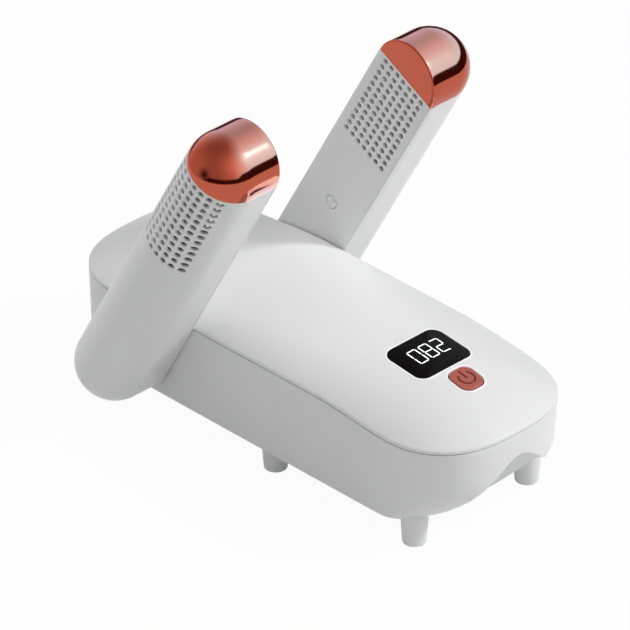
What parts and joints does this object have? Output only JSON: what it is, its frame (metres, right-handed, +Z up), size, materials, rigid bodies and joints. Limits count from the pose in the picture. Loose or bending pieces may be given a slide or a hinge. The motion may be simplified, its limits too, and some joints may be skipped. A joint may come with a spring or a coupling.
{
  "type": "shoe dryer",
  "caption": "Folding electric shoe dryer: a domed base with display and button blows warm air through hinged perforated tubes with copper caps.",
  "frame": {"origin": "on the table, under the middle of the outer box", "axes": "+Z up, -Y towards the front with the button and the scoop, +X to the right seen from the front"},
  "size_m": [0.192, 0.292, 0.2164],
  "materials": {
    "white_plastic": "fine satin",
    "copper_plating": "mirror copper plating on plastic",
    "rose_plastic": "satin rose",
    "black_window": "gloss black",
    "black_plastic": "matte",
    "grey_nylon": "matte",
    "board": "solder mask",
    "heater_resin": "matte",
    "steel": "plain",
    "aluminium": "plain"
  },
  "bodies": {
    "base": {"base_housing": "white_plastic", "top_cover": "white_plastic", "intake_grille": "white_plastic", "foot_front_left": "white_plastic", "foot_front_right": "white_plastic", "foot_middle_left": "white_plastic", "foot_middle_right": "white_plastic", "foot_rear_left": "white_plastic", "foot_rear_right": "white_plastic", "display_window": "black_window", "display_module": "black_plastic", "control_board": "board", "tact_switch": "black_plastic", "blower_inlet_ring": "grey_nylon", "blower_scroll": "grey_nylon", "blower_motor": "steel", "heater_frame": "heater_resin", "heater_core": "aluminium", "thermal_cutout": "steel", "air_manifold": "grey_nylon", "power_inlet": "black_plastic", "power_board": "board", "lid_screw_front_left": "steel", "lid_screw_front_right": "steel", "lid_screw_rear_left": "steel", "lid_screw_rear_right": "steel", "left_hub_bush": "grey_nylon", "right_hub_bush": "grey_nylon"},
    "left_arm": {"left_arm_shell": "white_plastic", "left_arm_face": "white_plastic", "left_arm_cap": "copper_plating", "left_hub": "grey_nylon", "left_hub_clip": "steel", "left_arm_screw": "steel", "left_screw_plug": "white_plastic"},
    "right_arm": {"right_arm_shell": "white_plastic", "right_arm_face": "white_plastic", "right_arm_cap": "copper_plating", "right_hub": "grey_nylon", "right_hub_clip": "steel", "right_arm_screw": "steel", "right_screw_plug": "white_plastic"},
    "power_button": {"power_button": "rose_plastic"},
    "impeller": {"blower_impeller": "black_plastic"}
  },
  "joints": [
    {"name": "left_arm_fold", "type": "hinge", "parent": "base", "child": "left_arm", "pos_m": [-0.0563, 0.08, 0.0395], "axis": [1, 0, 0], "range_deg": [-29, 61]},
    {"name": "right_arm_fold", "type": "hinge", "parent": "base", "child": "right_arm", "pos_m": [0.0563, 0.08, 0.0395], "axis": [1, 0, 0], "range_deg": [-29, 61]},
    {"name": "power_press", "type": "slide", "parent": "base", "child": "power_button", "axis": [0, 0, -1], "range_m": [0, 0.0012], "stiffness_N_per_m": 900},
    {"name": "impeller_spin", "type": "hinge", "parent": "base", "child": "impeller", "pos_m": [0, -0.0222, 0.036], "axis": [0, 0, 1], "continuous": true}
  ]
}
